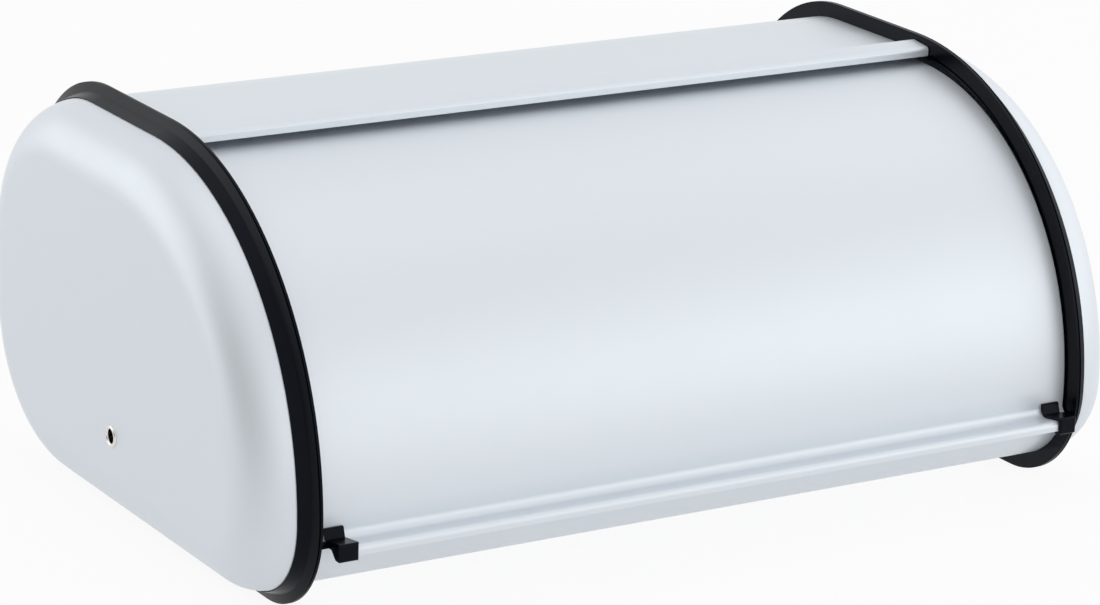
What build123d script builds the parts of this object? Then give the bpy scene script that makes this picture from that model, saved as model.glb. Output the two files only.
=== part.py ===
from build123d import *
from math import asin, atan2, cos, degrees, radians, sin, sqrt, tan
import os

# Roll-top bread box. X runs along the box, Y from the front to the back, Z up.
# The origin is on the table, under the middle of the box.

# Side outline of the box, at the crown of the two trim rings
ring_height = 179.0
ring_depth = 271.0
front_corner_share = 0.244
rear_corner_share = 0.42

# Sheet steel of the body, the end caps and the lid
sheet = 0.6

# Trim ring: a plastic strip with a slot for the body on one side and for an end cap on the other
body_length = 375.2
ridge_width = 1.1
groove_width = 0.6
groove_depth = 0.8
crest_width = 0.2
shoulder_run = 1.4
shoulder_drop = 3.9
skirt_run = 5.1
skirt_drop = 6.0
skirt_tip = 0.3
ring_rise = 7.0
body_slot_depth = 2.7
cap_slot_depth = 3.0
slot_play = 0.1
inner_flange = 1.2

# End cap: a dished pressing with a wide rounded edge
cap_depth = 23.3
cap_edge_radius = 22.5

# Lid: a curved sheet that turns about the two rivets, with a ledge to lift it by
pivot_rise = 2.2
pivot_lead = 2.1
lid_top_gap = 0.6
lid_lead = 3.2
lid_side_gap = 1.0
lid_top_angle = 95.0
ledge_drop = 11.4
ledge_bend = 4.0
ledge_notch = 1.5
nose_proud = 4.8
nose_rise = 2.0
nose_bend = 2.0
nose_height = 4.2

# Raised lip along the front edge of the body's top
lip_start = 10.0
lip_crest = 1.0
lip_reach = 12.4
lip_rise = 4.4
lip_fall = 1.2
lip_height = 3.8
lip_bend = 1.5
lip_side_gap = 0.4

# Front strip of the body, turned in at its top as a seat for the lid's ledge
seat_gap = 0.5
seat_width = 2.8

# Vent holes in the back
vent_diameter = 5.0
vent_pitch = 13.0
vent_count = 5
vent_spread = 190.0
vent_height_share = 0.5

# Plastic clip on each end of the lid's ledge
clip_wall = 1.4
clip_play = 0.1
clip_width = 8.6
clip_side_gap = 4.4
clip_tab = 4.2
clip_tab_tip = 1.2
clip_tab_foot = 2.6
clip_hook = 4.0
clip_cheek = 7.4
clip_round = 0.9

# Lid arm: a cranked steel strip from the lid to the pivot
arm_sheet = 1.2
arm_angle = 40.0
arm_width = 22.0
arm_foot_length = 16.0
arm_foot_inset = 8.0
arm_drop = 22.0
arm_bend = 4.0
arm_weld_play = 0.1

# Pivot: tubular rivet, flanged bush and washer
rivet_bore = 6.0
rivet_wall = 0.7
rivet_head_diameter = 9.8
rivet_head_height = 0.9
rivet_clinch_diameter = 9.8
rivet_clinch_height = 0.9
bush_wall = 2.0
bush_flange_diameter = 18.0
bush_flange = 2.8
bush_play = 0.05
arm_play = 0.1
arm_side_play = 0.3
washer_diameter = 16.0
washer_thickness = 1.0

# How far cuts run past what they cut
overrun = 5.0


# Places worked out from the sizes above
wall_x = body_length / 2
crest_end = ridge_width + groove_width + crest_width
ring_width = crest_end + shoulder_run + skirt_run
slot = sheet + 2 * slot_play
cap_slot_drop = skirt_drop + skirt_tip
inner_drop = ring_rise + slot + inner_flange

arc_z = front_corner_share * ring_height
front_radius = ring_height - arc_z
rear_radius = rear_corner_share * ring_height
clip_proud = nose_proud + clip_play + clip_wall
ring_front = (clip_proud - ring_depth) / 2
ring_rear = ring_front + ring_depth
arc_y = ring_front + front_radius
pivot_y = arc_y - pivot_lead
pivot_z = arc_z + pivot_rise
pivot_axis = Axis((0, pivot_y, pivot_z), (1, 0, 0))

body_drop = ring_rise + slot_play
body_half = wall_x + body_slot_depth - slot_play
top_z = ring_height - body_drop
inner_half = wall_x - lip_side_gap

cap_rim_x = wall_x + ring_width - cap_slot_depth + slot_play
cap_face_x = cap_rim_x + cap_depth
cap_drop = cap_slot_drop + slot_play

lid_radius = top_z - sheet - lid_top_gap - pivot_z
lid_half = wall_x - lid_side_gap
clip_end = wall_x - clip_side_gap
ledge_half = clip_end - clip_wall - clip_play
lid_line = lid_radius - sheet / 2
lid_front = pivot_y - lid_line
ledge_z = pivot_z - ledge_drop
bend_y = lid_front - ledge_bend
nose_y = ring_front - nose_proud + sheet / 2
ledge_slope = atan2(nose_rise, lid_front - nose_y)
seat_z = ledge_z - sheet / 2 - seat_gap


def ledge_height(y, lift):
    """Height of the ledge's middle line at y, moved square to the ledge by lift."""
    return ledge_z + (lid_front - y) * tan(ledge_slope) + lift / cos(ledge_slope)


def side_outline(drop):
    """Side outline of the box, moved inwards from the crown of the rings by drop."""
    corner_y = ring_front + arc_z
    back_y = ring_rear - rear_radius
    Line((back_y, ring_height - drop), (arc_y, ring_height - drop))
    CenterArc((arc_y, arc_z), front_radius - drop, 90, 90)
    CenterArc((corner_y, arc_z), arc_z - drop, 180, 90)
    Line((corner_y, drop), (back_y, drop))
    CenterArc((back_y, rear_radius), rear_radius - drop, 270, 90)
    Line((ring_rear - drop, rear_radius), (ring_rear - drop, ring_height - rear_radius))
    CenterArc((back_y, ring_height - rear_radius), rear_radius - drop, 0, 90)


# Body: one sheet wrapped round the top, the back, the bottom and the foot of the front
with BuildPart() as body_shell:
    with BuildSketch(Plane.YZ):
        with BuildLine():
            side_outline(body_drop)
        make_face()
        with BuildLine():
            side_outline(body_drop + sheet)
        make_face(mode=Mode.SUBTRACT)
        with Locations((arc_y + lip_start, seat_z - sheet / 2)):
            Rectangle(ring_depth, ring_height, align=(Align.MAX, Align.MIN), mode=Mode.SUBTRACT)
    extrude(amount=body_half, both=True)
    # The lip's joggle, flat and turned-down front edge
    lip_line = top_z - sheet / 2
    with BuildSketch(Plane.YZ):
        with BuildLine():
            FilletPolyline(
                (arc_y + lip_start + sheet, lip_line),
                (arc_y + lip_start - lip_bend, lip_line),
                (arc_y - lip_crest, lip_line + lip_rise),
                (arc_y - lip_reach + sheet / 2, lip_line + lip_rise - lip_fall),
                (arc_y - lip_reach + sheet / 2, lip_line + lip_rise - lip_fall - lip_height),
                radius=lip_bend,
            )
        trace(line_width=sheet)
    extrude(amount=inner_half, both=True)
    # The turned-in seat under the lid's ledge
    strip_y = ring_front + arc_z - sqrt((arc_z - body_drop) ** 2 - (arc_z - seat_z) ** 2)
    with BuildSketch(Plane.YZ):
        with Locations((strip_y, seat_z)):
            Rectangle(seat_width, sheet, align=(Align.MIN, Align.MAX))
    extrude(amount=inner_half, both=True)
    # Vent holes, a row at each end of the back
    with BuildSketch(Plane.XZ.offset(-ring_rear)):
        vent_z = vent_height_share * ring_height
        with Locations((-vent_spread / 2, vent_z), (vent_spread / 2, vent_z)):
            with GridLocations(vent_pitch, vent_pitch, vent_count, 1):
                Circle(vent_diameter / 2)
    extrude(amount=body_drop + sheet + overrun, mode=Mode.SUBTRACT)

# Trim ring: one section swept round the side outline
section_plane = Plane(
    origin=(wall_x, ring_rear - rear_radius, ring_height),
    x_dir=(1, 0, 0),
    z_dir=(0, -1, 0),
)
with BuildPart() as trim_ring:
    with BuildLine(Plane.YZ.offset(wall_x)) as crown:
        side_outline(0)
    with BuildSketch(section_plane):
        with BuildLine():
            Polyline(
                (0, 0),
                (ridge_width, 0),
                (ridge_width, -groove_depth),
                (ridge_width + groove_width, -groove_depth),
                (ridge_width + groove_width, 0),
                (crest_end, 0),
                (crest_end + shoulder_run, -shoulder_drop),
                (ring_width, -skirt_drop),
                (ring_width, -cap_slot_drop),
                (ring_width - cap_slot_depth, -cap_slot_drop),
                (ring_width - cap_slot_depth, -cap_slot_drop - slot),
                (ring_width, -cap_slot_drop - slot),
                (ring_width, -inner_drop),
                (0, -inner_drop),
                (0, -ring_rise - slot),
                (body_slot_depth, -ring_rise - slot),
                (body_slot_depth, -ring_rise),
                (0, -ring_rise),
                close=True,
            )
        make_face()
    sweep(path=crown.wires()[0])

# End cap: the side outline drawn out, rounded over and hollowed, with its hole for the rivet
with BuildPart() as end_cap:
    with BuildSketch(Plane.YZ.offset(cap_rim_x)):
        with BuildLine():
            side_outline(cap_drop)
        make_face()
    extrude(amount=cap_depth)
    fillet(end_cap.faces().sort_by(Axis.X)[-1].edges(), radius=cap_edge_radius)
    offset(amount=-sheet, openings=end_cap.faces().sort_by(Axis.X)[0])
    with BuildSketch(Plane.YZ.offset(cap_face_x)):
        with Locations((pivot_y, pivot_z)):
            Circle(rivet_bore / 2 + rivet_wall + bush_play)
    extrude(amount=-sheet - overrun, mode=Mode.SUBTRACT)

# Lid: an arc about a line just ahead of the pivot, run down into a ledge with a turned-down nose
with BuildPart() as lid_panel:
    with BuildSketch(Plane.YZ):
        with BuildLine():
            CenterArc((pivot_y - lid_lead, pivot_z), lid_line - lid_lead, 180 - lid_top_angle, lid_top_angle)
            FilletPolyline(
                (lid_front, pivot_z),
                (lid_front, ledge_z),
                (nose_y, ledge_height(nose_y, 0)),
                (nose_y, ledge_height(nose_y, 0) - nose_height),
                radius=[ledge_bend, nose_bend],
            )
        trace(line_width=sheet)
    extrude(amount=lid_half, both=True)
    # The ledge stops short of the panel's ends
    for side in (-1, 1):
        with BuildSketch(Plane.YZ.offset(side * ledge_half)):
            with Locations((bend_y, ledge_z + ledge_notch)):
                Rectangle(ring_depth, ring_height, align=(Align.MAX, Align.CENTER))
                Rectangle(ring_depth, ring_height, align=(Align.MIN, Align.MAX))
        extrude(amount=side * wall_x, mode=Mode.SUBTRACT)

# Clip: a C that wraps the nose of the ledge, with a tab up the lid and a wall over the ledge's end
tab_back = lid_front - sheet / 2 - clip_play
tab_tip_y = tab_back - clip_tab_tip
tab_foot_y = tab_back - clip_tab_foot
grip_y = nose_y - sheet / 2 - clip_play
face_y = grip_y - clip_wall
grip_lift = sheet / 2 + clip_play
arm_lift = grip_lift + clip_wall
hook_top = ledge_height(nose_y, 0) - nose_height - clip_play
hook_bottom = hook_top - clip_wall
hook_y = face_y + clip_hook
cheek_y = face_y + clip_cheek
tab_foot_z = ledge_height(tab_foot_y, arm_lift)
tab_top = tab_foot_z + clip_tab
face_top = ledge_height(face_y, arm_lift)
wall_low = ledge_z - grip_lift
bar_y = bend_y - clip_wall
bar_height = ledge_z + ledge_notch - clip_play - wall_low
with BuildPart() as lid_clip:
    with BuildSketch(Plane.YZ.offset(clip_end - clip_wall)) as grip:
        with BuildLine():
            Polyline(
                (tab_back, tab_top),
                (tab_tip_y, tab_top),
                (tab_foot_y, tab_foot_z),
                (face_y, face_top),
                (face_y, hook_bottom),
                (hook_y, hook_bottom),
                (hook_y, hook_top),
                (grip_y, hook_top),
                (grip_y, ledge_height(grip_y, grip_lift)),
                (tab_back, ledge_height(tab_back, grip_lift)),
                close=True,
            )
        make_face()
        crease = grip.vertices().sort_by_distance((tab_back, ledge_height(tab_back, grip_lift)))[0]
        fillet(crease, radius=ledge_bend - grip_lift)
    extrude(amount=clip_wall - clip_width)
    with BuildSketch(Plane.YZ.offset(clip_end)):
        with BuildLine():
            Polyline(
                (tab_back, tab_top),
                (tab_tip_y, tab_top),
                (tab_foot_y, tab_foot_z),
                (face_y, face_top),
                (face_y, hook_bottom),
                (hook_y, hook_bottom),
                (cheek_y, wall_low),
                (bend_y, wall_low),
                (bend_y, ledge_z + grip_lift),
                (tab_back, ledge_z + ledge_bend),
                close=True,
            )
        make_face()
    extrude(amount=-clip_wall)
    # Rounded tab and front face
    along = lid_clip.edges().filter_by(Axis.X).filter_by(lambda e: e.length > clip_width - clip_wall)
    fillet(along.sort_by_distance((clip_end, tab_tip_y, tab_top))[0], radius=clip_round)
    fillet(lid_clip.faces().sort_by(Axis.Y)[0].edges(), radius=clip_round)
    # Bar under the end of the panel
    with BuildSketch(Plane.YZ.offset(clip_end)):
        with Locations((bar_y, wall_low)):
            Rectangle(lid_front + sheet / 2 - bar_y, bar_height, align=(Align.MIN, Align.MIN))
    extrude(amount=lid_half - clip_end)

# Bush between the cap and the arm: a flange that spaces them and a sleeve that the arm turns on
rivet_radius = rivet_bore / 2 + rivet_wall
bush_bore = rivet_radius + bush_play
sleeve_radius = bush_bore + bush_wall
cap_inside_x = cap_face_x - sheet
arm_outside_x = cap_inside_x - bush_flange - arm_side_play
arm_inside_x = arm_outside_x - arm_sheet
sleeve_end_x = arm_inside_x - arm_side_play
washer_end_x = sleeve_end_x - washer_thickness
with BuildPart() as pivot_bush:
    with BuildSketch(Plane.YZ.offset(cap_inside_x)):
        with Locations((pivot_y, pivot_z)):
            Circle(bush_flange_diameter / 2)
            Circle(bush_bore, mode=Mode.SUBTRACT)
    extrude(amount=-bush_flange)
    with BuildSketch(Plane.YZ.offset(cap_inside_x)):
        with Locations((pivot_y, pivot_z)):
            Circle(sleeve_radius)
            Circle(bush_bore, mode=Mode.SUBTRACT)
    extrude(amount=sleeve_end_x - cap_inside_x)

# Washer that keeps the arm on its bush
with BuildPart() as pivot_washer:
    with BuildSketch(Plane.YZ.offset(sleeve_end_x)):
        with Locations((pivot_y, pivot_z)):
            Circle(washer_diameter / 2)
            Circle(bush_bore, mode=Mode.SUBTRACT)
    extrude(amount=-washer_thickness)

# Tubular rivet: half-round head outside the cap, shank through the stack, end rolled over the washer
rivet_plane = Plane(origin=(0, pivot_y, pivot_z), x_dir=(1, 0, 0), z_dir=(0, -1, 0))
with BuildPart() as pivot_rivet:
    with BuildSketch(rivet_plane):
        with BuildLine():
            Polyline(
                (cap_face_x, rivet_bore / 2),
                (washer_end_x - rivet_clinch_height, rivet_bore / 2),
                (washer_end_x - rivet_clinch_height, rivet_radius),
                (washer_end_x, rivet_clinch_diameter / 2),
                (washer_end_x, rivet_radius),
                (cap_face_x, rivet_radius),
                (cap_face_x, rivet_head_diameter / 2),
            )
            ThreePointArc(
                (cap_face_x, rivet_head_diameter / 2),
                (cap_face_x + rivet_head_height, (rivet_head_diameter / 2 + rivet_bore / 2) / 2),
                (cap_face_x, rivet_bore / 2),
            )
        make_face()
    revolve(axis=pivot_axis)

# Arm: a foot curved to the lid, a slanting web that clears the ring, and a leg down to the pivot
with BuildPart() as lid_arm:
    half_turn = degrees(asin(arm_width / 2 / lid_radius))
    lid_dip = lid_lead * (1 - cos(radians(arm_angle + half_turn)))
    foot_radius = lid_radius - lid_dip - sheet - arm_weld_play - arm_sheet / 2
    foot_end_x = lid_half - arm_foot_inset
    leg_x = (arm_outside_x + arm_inside_x) / 2
    elbow_radius = foot_radius - arm_drop
    start = radians(arm_angle - half_turn)
    start_plane = Plane(
        origin=(0, pivot_y, pivot_z),
        x_dir=(1, 0, 0),
        z_dir=(0, -sin(start), -cos(start)),
    )
    with BuildSketch(start_plane):
        with BuildLine():
            FilletPolyline(
                (foot_end_x - arm_foot_length, foot_radius),
                (foot_end_x, foot_radius),
                (leg_x, elbow_radius),
                (leg_x, elbow_radius - arm_width),
                radius=arm_bend,
            )
        trace(line_width=arm_sheet)
    revolve(axis=pivot_axis, revolution_arc=-2 * half_turn)
    with BuildSketch(Plane.YZ.offset(arm_inside_x)):
        with Locations(Location((pivot_y, pivot_z), 180 - arm_angle)):
            Circle(arm_width / 2)
            Rectangle(elbow_radius - arm_width / 2, arm_width, align=(Align.MIN, Align.CENTER))
            Circle(sleeve_radius + arm_play, mode=Mode.SUBTRACT)
    extrude(amount=arm_sheet)

os.makedirs("parts", exist_ok=True)
body_shell.part.label = "body_shell"
export_step(body_shell.part, "parts/body_shell.step")
lid_panel.part.label = "lid_panel"
export_step(lid_panel.part, "parts/lid_panel.step")

# The two ends of the box are mirror images
pairs = {
    "end_cap": end_cap,
    "trim_ring": trim_ring,
    "lid_clip": lid_clip,
    "lid_arm": lid_arm,
    "pivot_bush": pivot_bush,
    "pivot_washer": pivot_washer,
    "pivot_rivet": pivot_rivet,
}
for name, right in pairs.items():
    with BuildPart() as left:
        mirror(right.part, about=Plane.YZ)
    right.part.label = f"right_{name}"
    export_step(right.part, f"parts/right_{name}.step")
    left.part.label = f"left_{name}"
    export_step(left.part, f"parts/left_{name}.step")
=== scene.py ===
# %% [markdown]
# A roll-top bread box in white painted steel.
# The shape of every piece comes from the imported CAD frame, so this lesson is about the finish of each
# piece, the studio round the box and the camera.
# The frame is loaded first.

import math

import bpy
from mathutils import Matrix, Vector

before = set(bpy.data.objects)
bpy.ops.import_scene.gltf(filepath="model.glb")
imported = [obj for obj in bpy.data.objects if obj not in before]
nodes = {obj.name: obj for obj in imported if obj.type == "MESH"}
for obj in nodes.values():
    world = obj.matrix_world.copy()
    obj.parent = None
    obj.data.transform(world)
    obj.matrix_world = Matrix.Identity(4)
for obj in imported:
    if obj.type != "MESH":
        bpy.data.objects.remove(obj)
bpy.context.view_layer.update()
print("pieces in the frame:", ", ".join(sorted(nodes)))

# %% [markdown]
# Finishes are written as sums on shader sockets. A Math node could be added by hand for every step,
# but a formula reads better, so one small class wraps a socket and lets Python's operators add the
# nodes. Any other node comes from the method called node: a socket is named by its own name, or by an
# underscore and its number where two sockets share a name.

# %% Shader maths
class Value:
    """A shader socket that takes part in Python expressions."""

    def __init__(self, tree, socket):
        self.tree = tree
        self.socket = socket

    def node(self, kind, settings=None, **inputs):
        """Adds a node, sets its settings first and then its sockets, and returns it."""
        made = self.tree.nodes.new(kind)
        for name, setting in (settings or {}).items():
            setattr(made, name, setting)
        for name, given in inputs.items():
            key = int(name[1:]) if name[1:].isdigit() else name.replace("_", " ")
            if isinstance(given, Value):
                given.into(made.inputs[key])
            elif hasattr(given, "is_output"):
                self.tree.links.new(given, made.inputs[key])
            else:
                made.inputs[key].default_value = given
        return made

    def take(self, made, output):
        """The named output of a node, as a Value."""
        return Value(self.tree, made.outputs[output])

    def into(self, target):
        """Feeds this value into the target socket."""
        self.tree.links.new(self.socket, target)

    def math(self, operation, first, second):
        """A Math node on two values, either of which may be a plain number."""
        made = self.node("ShaderNodeMath", {"operation": operation}, _0=first, _1=second)
        return self.take(made, "Value")

    def __add__(self, other):
        return self.math("ADD", self, other)

    def __radd__(self, other):
        return self.math("ADD", other, self)

    def __sub__(self, other):
        return self.math("SUBTRACT", self, other)

    def __rsub__(self, other):
        return self.math("SUBTRACT", other, self)

    def __mul__(self, other):
        return self.math("MULTIPLY", self, other)

    def __rmul__(self, other):
        return self.math("MULTIPLY", other, self)


def new_finish(name):
    """An empty material with its surface shader, and a handle for adding nodes."""
    finish = bpy.data.materials.new(name)
    finish.use_nodes = True
    tree = finish.node_tree
    return finish, tree.nodes["Principled BSDF"], Value(tree, None)


NOISE_MIDDLE = 0.5


def noise(maths, scale, detail):
    """Soft noise fixed to the piece, between 0 and 1."""
    place = maths.take(maths.node("ShaderNodeTexCoord"), "Object")
    cloud = maths.node("ShaderNodeTexNoise", Vector=place, Scale=scale, Detail=detail)
    return maths.take(cloud, "Fac")


def add_bump(maths, shader, height, strength, distance):
    """Bends the surface's normal by the slope of the height, which is distance metres at most."""
    bump = maths.node("ShaderNodeBump", Strength=strength, Distance=distance, Height=height)
    maths.take(bump, "Normal").into(shader.inputs["Normal"])


print("shader helper ready")

# %% [markdown]
# The box is sprayed with a cool pearl white. Fine metal flake under the white gives it a soft, wide
# sheen, in which the dark rings show as blurred bands along the ends of the lid.
# One shader does it: a bluish white, a share of metal, a middling roughness that wanders a little,
# and a very faint wide bump. A picture of paint would show its pixels close up, noise does not.

# %% White enamel
ENAMEL_WHITE = (0.78, 0.83, 0.88, 1.0)
ENAMEL_METAL = 0.42
ENAMEL_ROUGHNESS = 0.44
ENAMEL_WANDER = 0.05
ENAMEL_SCALE = 60.0
ENAMEL_DETAIL = 2.0
ENAMEL_BUMP_STRENGTH = 0.3
ENAMEL_BUMP_HEIGHT = 0.00002

enamel, shader, maths = new_finish("white_enamel")
drift = noise(maths, ENAMEL_SCALE, ENAMEL_DETAIL)
rough = ENAMEL_ROUGHNESS + (drift - NOISE_MIDDLE) * ENAMEL_WANDER
rough.into(shader.inputs["Roughness"])
add_bump(maths, shader, drift, ENAMEL_BUMP_STRENGTH, ENAMEL_BUMP_HEIGHT)
shader.inputs["Base Color"].default_value = ENAMEL_WHITE
shader.inputs["Metallic"].default_value = ENAMEL_METAL
print("enamel", ENAMEL_WHITE[:3], "metal", ENAMEL_METAL, "roughness about", ENAMEL_ROUGHNESS)

# %% [markdown]
# The trim rings and the two clips are blue-black plastic. The rings are extruded strip with a satin
# skin, the clips are moulded. Both are nearly black, so what shows is their bluish sheen, and a fine
# grain in the bump breaks that sheen up.

# %% Black plastic
PLASTIC_BLACK = (0.0025, 0.003, 0.0055, 1.0)
PLASTIC_ROUGHNESS = 0.24
PLASTIC_SHEEN = 0.11
PLASTIC_SHEEN_COLOUR = (0.72, 0.80, 1.0, 1.0)
GRAIN_SCALE = 2500.0
GRAIN_DETAIL = 1.0
GRAIN_STRENGTH = 0.25
GRAIN_HEIGHT = 0.00003

plastic, shader, maths = new_finish("black_plastic")
grain = noise(maths, GRAIN_SCALE, GRAIN_DETAIL)
add_bump(maths, shader, grain, GRAIN_STRENGTH, GRAIN_HEIGHT)
shader.inputs["Base Color"].default_value = PLASTIC_BLACK
shader.inputs["Roughness"].default_value = PLASTIC_ROUGHNESS
shader.inputs["Specular IOR Level"].default_value = PLASTIC_SHEEN
shader.inputs["Specular Tint"].default_value = PLASTIC_SHEEN_COLOUR
print("plastic", PLASTIC_BLACK[:3], "roughness", PLASTIC_ROUGHNESS)

# %% [markdown]
# The rivets are plated with bright nickel, which is a little warmer than steel. The washers inside
# are plain zinc-grey steel and the bushes are natural nylon. They hardly show, so one loop makes all
# three, each from its colour, its roughness and whether it is a metal.

# %% Nickel, steel and nylon
SPOT_SCALE = 400.0
SPOT_DETAIL = 2.0
SPOT_WANDER = 0.06

small_finishes = {
    "bright_nickel": ((0.72, 0.70, 0.66, 1.0), 0.12, 1.0),
    "zinc_steel": ((0.55, 0.56, 0.57, 1.0), 0.40, 1.0),
    "natural_nylon": ((0.78, 0.76, 0.70, 1.0), 0.50, 0.0),
}
small = {}
for name, (colour, roughness, metallic) in small_finishes.items():
    finish, shader, maths = new_finish(name)
    rough = roughness + (noise(maths, SPOT_SCALE, SPOT_DETAIL) - NOISE_MIDDLE) * SPOT_WANDER
    rough.into(shader.inputs["Roughness"])
    shader.inputs["Base Color"].default_value = colour
    shader.inputs["Metallic"].default_value = metallic
    small[name] = finish
print("small finishes:", ", ".join(small))

# %% [markdown]
# Every CAD piece keeps its shape and gets its finish by the last part of its name, so both ends of
# the box are dressed by the same line. The normals come with the frame: they run smoothly across the
# bends of the sheet and break at the real edges, so nothing is set here for them.

# %% Dressing the pieces
finish_of = {
    "body_shell": enamel,
    "lid_panel": enamel,
    "end_cap": enamel,
    "lid_arm": enamel,
    "trim_ring": plastic,
    "lid_clip": plastic,
    "pivot_rivet": small["bright_nickel"],
    "pivot_washer": small["zinc_steel"],
    "pivot_bush": small["natural_nylon"],
}
for name, piece in nodes.items():
    kind = next(k for k in finish_of if name.endswith(k))
    piece.data.materials.clear()
    piece.data.materials.append(finish_of[kind])
    print(name, "->", finish_of[kind].name)

# %% [markdown]
# The floor is one big sheet of white paper. What is seen of it, straight or in the paint's sheen, is
# mostly plain white, with a little of the real shading mixed in, so that the box keeps a faint
# shadow. More light on the paper would make it white too, but it would bleach the box.

# %% Floor
WHITE = (1.0, 1.0, 1.0, 1.0)
WHITE_STRENGTH = 1.0
FLOOR_SIZE = 12.0
FLOOR_WHITE = (0.90, 0.90, 0.90, 1.0)
FLOOR_ROUGHNESS = 0.9
FLOOR_SHEEN = 0.0
FLOOR_GLOW_SHARE = 0.92


def looking(maths, rays):
    """One on the rays that look at a thing: straight, in a sheen or through glass."""
    straight = maths.take(rays, "Is Camera Ray")
    return straight + maths.take(rays, "Is Glossy Ray") + maths.take(rays, "Is Transmission Ray")


bpy.ops.mesh.primitive_plane_add(size=FLOOR_SIZE, location=(0.0, 0.0, 0.0))
floor = bpy.context.object
floor.name = "floor"
floor_finish, shader, maths = new_finish("floor_paper")
shader.inputs["Base Color"].default_value = FLOOR_WHITE
shader.inputs["Roughness"].default_value = FLOOR_ROUGHNESS
shader.inputs["Specular IOR Level"].default_value = FLOOR_SHEEN
glow = maths.node("ShaderNodeEmission", Color=WHITE, Strength=WHITE_STRENGTH)
rays = maths.node("ShaderNodeLightPath")
share = looking(maths, rays) * FLOOR_GLOW_SHARE
mix = maths.node("ShaderNodeMixShader", _0=share, _1=shader.outputs[0], _2=glow.outputs[0])
output = floor_finish.node_tree.nodes["Material Output"]
maths.take(mix, 0).into(output.inputs["Surface"])
floor.data.materials.append(floor_finish)
print("floor", FLOOR_SIZE, "m wide, plain white by", FLOOR_GLOW_SHARE)

# %% [markdown]
# The surround is white to look at and gives a softer light than that. On the left the studio is dim:
# a lobe that falls off with a power of a cosine says how dim, and the rounded edge of the left end
# shows it as a darker band. A black board out there would do the same, but it would stand in the way
# of a view from that side.

# %% Surround
SURROUND_LIGHT = 0.62
SHADE_SHARE = 0.85
SHADE_FALL = 4.0
SHADE_AZIMUTH = math.radians(-75.0)

world = bpy.data.worlds.new("studio")
bpy.context.scene.world = world
world.use_nodes = True
tree = world.node_tree
maths = Value(tree, None)
direction = maths.take(maths.node("ShaderNodeTexCoord"), "Generated")
split = maths.node("ShaderNodeSeparateXYZ", Vector=direction)
across, along = maths.take(split, "X"), maths.take(split, "Y")
ahead = across * math.sin(SHADE_AZIMUTH) - along * math.cos(SHADE_AZIMUTH)
lobe = maths.math("POWER", maths.math("MAXIMUM", ahead, 0.0), SHADE_FALL)
rays = maths.node("ShaderNodeLightPath")
seen = looking(maths, rays)
shade = lobe * SHADE_SHARE * (1.0 - maths.take(rays, "Is Camera Ray"))
soft = tree.nodes["Background"]
soft.inputs["Color"].default_value = WHITE
soft.inputs["Strength"].default_value = SURROUND_LIGHT
white = maths.node("ShaderNodeBackground", Color=WHITE, Strength=WHITE_STRENGTH)
dark = maths.node("ShaderNodeBackground", Strength=0.0)
studio = maths.node("ShaderNodeMixShader", _0=seen, _1=soft.outputs[0], _2=white.outputs[0])
mix = maths.node("ShaderNodeMixShader", _0=shade, _1=studio.outputs[0], _2=dark.outputs[0])
maths.take(mix, 0).into(tree.nodes["World Output"].inputs["Surface"])
print("surround at", SURROUND_LIGHT, "dimmed on the left by", SHADE_SHARE)

# %% [markdown]
# Seven broad soft boxes stand round the box, as in a catalogue studio: one overhead, one in front,
# four close on the right and one behind on the left. Those on the right are near, so the lid grows
# paler from left to right. The left end lives on the lamp behind it.

# %% Lamps
BOX_MIDDLE = Vector((0.0, 0.0, 0.09))


def soft_box(name, place, size, power):
    """A square area lamp, in metres and watts, turned towards the middle of the box."""
    lamp = bpy.data.lights.new(name, "AREA")
    lamp.shape = "SQUARE"
    lamp.size = size
    lamp.energy = power
    holder = bpy.data.objects.new(name, lamp)
    holder.location = place
    holder.rotation_euler = (BOX_MIDDLE - Vector(place)).to_track_quat("-Z", "Y").to_euler()
    bpy.context.scene.collection.objects.link(holder)
    print(name, "at", place, "size", size, "power", power)


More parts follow.
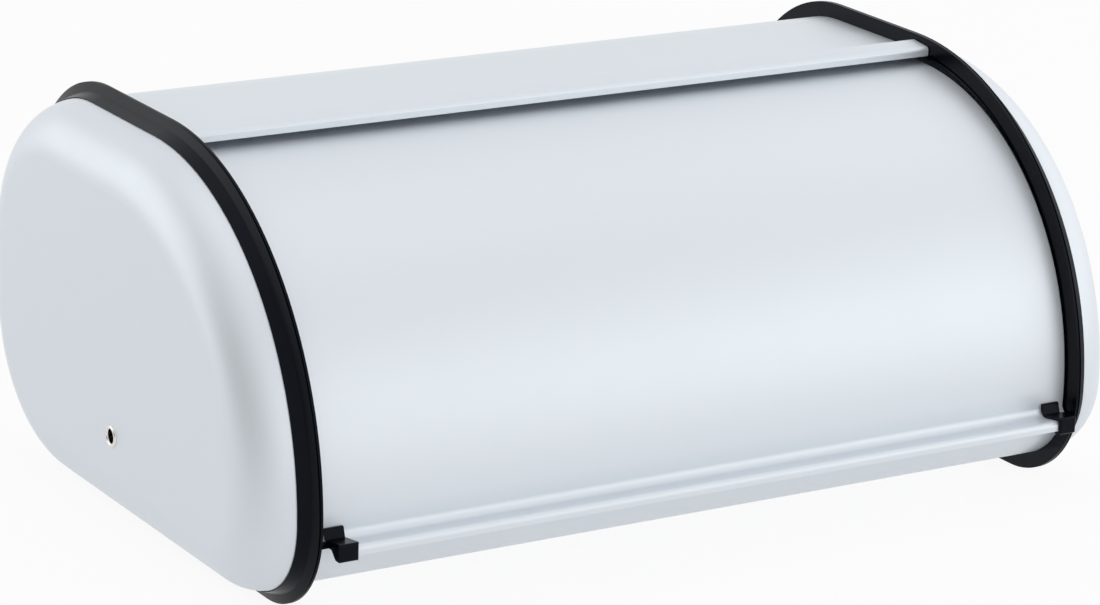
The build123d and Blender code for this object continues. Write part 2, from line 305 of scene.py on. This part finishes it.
soft_box("overhead", (0.0, 0.0, 2.39), size=2.0, power=4.3)
soft_box("front", (0.3, -2.2, 0.40), size=2.2, power=6.0)
soft_box("low right", (1.0, -1.2, 0.30), size=0.8, power=0.8)
soft_box("front right", (1.1, -0.7, 0.45), size=0.9, power=1.1)
soft_box("right", (1.3, 0.0, 0.45), size=0.9, power=0.6)
soft_box("high right", (1.1, 0.2, 1.0), size=0.9, power=0.7)
soft_box("back left", (-1.723, 1.446, 0.568), size=2.0, power=9.8)

# %% [markdown]
# The camera stands where the photographer's did. Its place, its turn and its lens were found by
# setting the outlines of both rings, the end caps and the lip against the picture. The lens is long and
# is given in the picture's own pixels, the camera is rolled about two degrees, and the picture's middle
# is the lens's middle.

# %% Camera
AZIMUTH = math.radians(-31.690)
ELEVATION = math.radians(17.139)
ROLL = math.radians(1.912)
CAMERA_PLACE = Vector((-0.94521, -1.52423, 0.62886))
IMAGE_WIDTH = 1100.0
FOCAL_PIXELS = 4261.57
SENSOR_WIDTH = 36.0

back = Vector((
    math.sin(AZIMUTH) * math.cos(ELEVATION),
    -math.cos(AZIMUTH) * math.cos(ELEVATION),
    math.sin(ELEVATION),
))
plumb = Vector((0.0, 0.0, 1.0))
level = (-back).cross(plumb).normalized()
upright = level.cross(-back)
right = math.cos(ROLL) * level + math.sin(ROLL) * upright
up = math.cos(ROLL) * upright - math.sin(ROLL) * level

camera_data = bpy.data.cameras.new("camera")
camera_data.sensor_fit = "HORIZONTAL"
camera_data.sensor_width = SENSOR_WIDTH
camera_data.lens = FOCAL_PIXELS / IMAGE_WIDTH * SENSOR_WIDTH
camera = bpy.data.objects.new("camera", camera_data)
turn = Matrix((right, up, back)).transposed().to_4x4()
camera.matrix_world = Matrix.Translation(CAMERA_PLACE) @ turn
bpy.context.scene.collection.objects.link(camera)
bpy.context.scene.camera = camera
print("lens", round(camera_data.lens, 2), "mm")

# %% [markdown]
# Colours are shown as they are written.

# %% Colour view
bpy.context.scene.view_settings.view_transform = "Standard"
